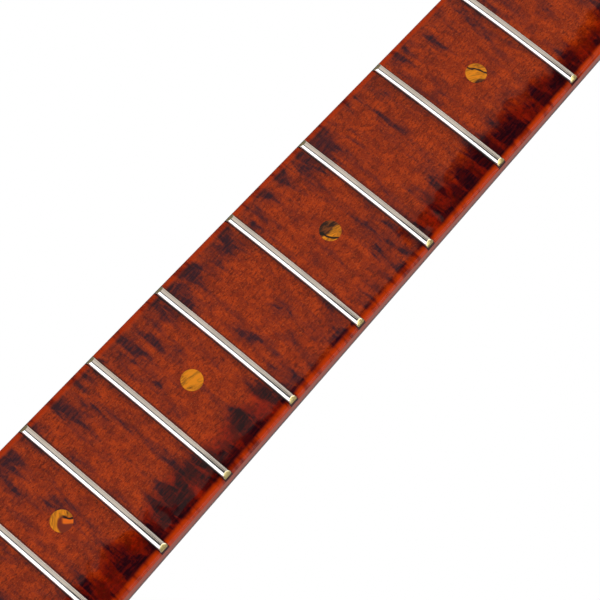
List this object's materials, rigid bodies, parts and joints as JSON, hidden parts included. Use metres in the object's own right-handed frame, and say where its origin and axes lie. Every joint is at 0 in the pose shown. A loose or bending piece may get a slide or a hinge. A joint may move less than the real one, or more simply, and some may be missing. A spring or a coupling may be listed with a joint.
{
  "type": "bouzouki",
  "caption": "Flat-backed pear-shaped bouzouki with a fretted neck, round soundhole, fixed bridge and geared tuning machines, unstrung.",
  "frame": {"origin": "on the crown of the fretboard at the front of the nut, where a hanger closes round the neck under the headstock", "axes": "+Z along the neck towards the headstock, -Y out of the playing face, +X towards the treble side"},
  "size_m": [0.344, 0.0975, 0.9719],
  "materials": {
    "lacquered_maple": "flamed maple under red-brown gloss lacquer",
    "lacquered_fretboard": "flamed maple stained orange-red, dark blotches, thick gloss lacquer",
    "lacquered_spruce": "straight-grained spruce under amber gloss lacquer",
    "bare_spruce": "unfinished spruce",
    "bare_mahogany": "unfinished mahogany",
    "dark_hardwood": "oiled dark rosewood-like hardwood",
    "black_trim": "polished black",
    "bone": null,
    "fret_wire": "polished nickel silver",
    "nickel_plate": "nickel-plated steel sheet",
    "nickel_machine": "nickel-plated steel and brass, ivory-coloured buttons",
    "plain_steel": "plain steel",
    "brass": "turned brass"
  },
  "bodies": {
    "instrument": {"neck": "lacquered_maple", "fretboard": "lacquered_fretboard", "nut": "bone", "fret_01": "fret_wire", "fret_02": "fret_wire", "fret_03": "fret_wire", "fret_04": "fret_wire", "fret_05": "fret_wire", "fret_06": "fret_wire", "fret_07": "fret_wire", "fret_08": "fret_wire", "fret_09": "fret_wire", "fret_10": "fret_wire", "fret_11": "fret_wire", "fret_12": "fret_wire", "fret_13": "fret_wire", "fret_14": "fret_wire", "fret_15": "fret_wire", "fret_16": "fret_wire", "fret_17": "fret_wire", "fret_18": "fret_wire", "truss_rod": "plain_steel", "headstock_veneer": "dark_hardwood", "truss_rod_cover": "black_trim", "heel_cap": "dark_hardwood", "tuner_plate_treble": "nickel_plate", "tuner_plate_bass": "nickel_plate", "soundboard": "lacquered_spruce", "rosette": "dark_hardwood", "back_plate": "lacquered_maple", "top_binding": "black_trim", "back_binding": "black_trim", "side_treble": "lacquered_maple", "side_bass": "lacquered_maple", "top_lining": "bare_spruce", "back_lining": "bare_spruce", "neck_block": "bare_mahogany", "tail_block": "bare_mahogany", "top_bracing": "bare_spruce", "back_bracing": "bare_spruce", "bridge": "dark_hardwood", "saddle": "bone", "end_pin": "dark_hardwood"},
    "truss_rod_nut": {"truss_rod_nut": "brass"},
    "button_treble_1": {"tuner_worm_treble_1": "nickel_machine"},
    "post_treble_1": {"tuner_post_treble_1": "nickel_machine"},
    "button_treble_2": {"tuner_worm_treble_2": "nickel_machine"},
    "post_treble_2": {"tuner_post_treble_2": "nickel_machine"},
    "button_treble_3": {"tuner_worm_treble_3": "nickel_machine"},
    "post_treble_3": {"tuner_post_treble_3": "nickel_machine"},
    "button_treble_4": {"tuner_worm_treble_4": "nickel_machine"},
    "post_treble_4": {"tuner_post_treble_4": "nickel_machine"},
    "button_bass_1": {"tuner_worm_bass_1": "nickel_machine"},
    "post_bass_1": {"tuner_post_bass_1": "nickel_machine"},
    "button_bass_2": {"tuner_worm_bass_2": "nickel_machine"},
    "post_bass_2": {"tuner_post_bass_2": "nickel_machine"},
    "button_bass_3": {"tuner_worm_bass_3": "nickel_machine"},
    "post_bass_3": {"tuner_post_bass_3": "nickel_machine"},
    "button_bass_4": {"tuner_worm_bass_4": "nickel_machine"},
    "post_bass_4": {"tuner_post_bass_4": "nickel_machine"}
  },
  "joints": [
    {"name": "truss_rod_adjustment", "type": "hinge", "parent": "instrument", "child": "truss_rod_nut", "pos_m": [0, 0.0105, 0.0155], "axis": [0, 0, 1], "range_deg": [-360, 360]},
    {"name": "button_treble_1_turn", "type": "hinge", "parent": "instrument", "child": "button_treble_1", "pos_m": [0.0245, 0.03039, 0.03242], "axis": [1, 0, 0], "continuous": true},
    {"name": "post_treble_1_turn", "type": "hinge", "parent": "instrument", "child": "post_treble_1", "pos_m": [0.0245, 0.01145, 0.04592], "axis": [0, 0.9744, -0.225], "continuous": true},
    {"name": "button_treble_2_turn", "type": "hinge", "parent": "instrument", "child": "button_treble_2", "pos_m": [0.0245, 0.03624, 0.05775], "axis": [1, 0, 0], "continuous": true},
    {"name": "post_treble_2_turn", "type": "hinge", "parent": "instrument", "child": "post_treble_2", "pos_m": [0.0245, 0.0173, 0.07126], "axis": [0, 0.9744, -0.225], "continuous": true},
    {"name": "button_treble_3_turn", "type": "hinge", "parent": "instrument", "child": "button_treble_3", "pos_m": [0.0245, 0.04209, 0.08308], "axis": [1, 0, 0], "continuous": true},
    {"name": "post_treble_3_turn", "type": "hinge", "parent": "instrument", "child": "post_treble_3", "pos_m": [0.0245, 0.02315, 0.09659], "axis": [0, 0.9744, -0.225], "continuous": true},
    {"name": "button_treble_4_turn", "type": "hinge", "parent": "instrument", "child": "button_treble_4", "pos_m": [0.0245, 0.04794, 0.10842], "axis": [1, 0, 0], "continuous": true},
    {"name": "post_treble_4_turn", "type": "hinge", "parent": "instrument", "child": "post_treble_4", "pos_m": [0.0245, 0.02899, 0.12192], "axis": [0, 0.9744, -0.225], "continuous": true},
    {"name": "button_bass_1_turn", "type": "hinge", "parent": "instrument", "child": "button_bass_1", "pos_m": [-0.0245, 0.03039, 0.03242], "axis": [-1, 0, 0], "continuous": true},
    {"name": "post_bass_1_turn", "type": "hinge", "parent": "instrument", "child": "post_bass_1", "pos_m": [-0.0245, 0.01145, 0.04592], "axis": [0, 0.9744, -0.225], "continuous": true},
    {"name": "button_bass_2_turn", "type": "hinge", "parent": "instrument", "child": "button_bass_2", "pos_m": [-0.0245, 0.03624, 0.05775], "axis": [-1, 0, 0], "continuous": true},
    {"name": "post_bass_2_turn", "type": "hinge", "parent": "instrument", "child": "post_bass_2", "pos_m": [-0.0245, 0.0173, 0.07126], "axis": [0, 0.9744, -0.225], "continuous": true},
    {"name": "button_bass_3_turn", "type": "hinge", "parent": "instrument", "child": "button_bass_3", "pos_m": [-0.0245, 0.04209, 0.08308], "axis": [-1, 0, 0], "continuous": true},
    {"name": "post_bass_3_turn", "type": "hinge", "parent": "instrument", "child": "post_bass_3", "pos_m": [-0.0245, 0.02315, 0.09659], "axis": [0, 0.9744, -0.225], "continuous": true},
    {"name": "button_bass_4_turn", "type": "hinge", "parent": "instrument", "child": "button_bass_4", "pos_m": [-0.0245, 0.04794, 0.10842], "axis": [-1, 0, 0], "continuous": true},
    {"name": "post_bass_4_turn", "type": "hinge", "parent": "instrument", "child": "post_bass_4", "pos_m": [-0.0245, 0.02899, 0.12192], "axis": [0, 0.9744, -0.225], "continuous": true}
  ],
  "couplings": [
    {"joint": "post_treble_1_turn", "follows": "button_treble_1_turn", "ratio": 0.066667},
    {"joint": "post_treble_2_turn", "follows": "button_treble_2_turn", "ratio": 0.066667},
    {"joint": "post_treble_3_turn", "follows": "button_treble_3_turn", "ratio": 0.066667},
    {"joint": "post_treble_4_turn", "follows": "button_treble_4_turn", "ratio": 0.066667},
    {"joint": "post_bass_1_turn", "follows": "button_bass_1_turn", "ratio": -0.066667},
    {"joint": "post_bass_2_turn", "follows": "button_bass_2_turn", "ratio": -0.066667},
    {"joint": "post_bass_3_turn", "follows": "button_bass_3_turn", "ratio": -0.066667},
    {"joint": "post_bass_4_turn", "follows": "button_bass_4_turn", "ratio": -0.066667}
  ]
}
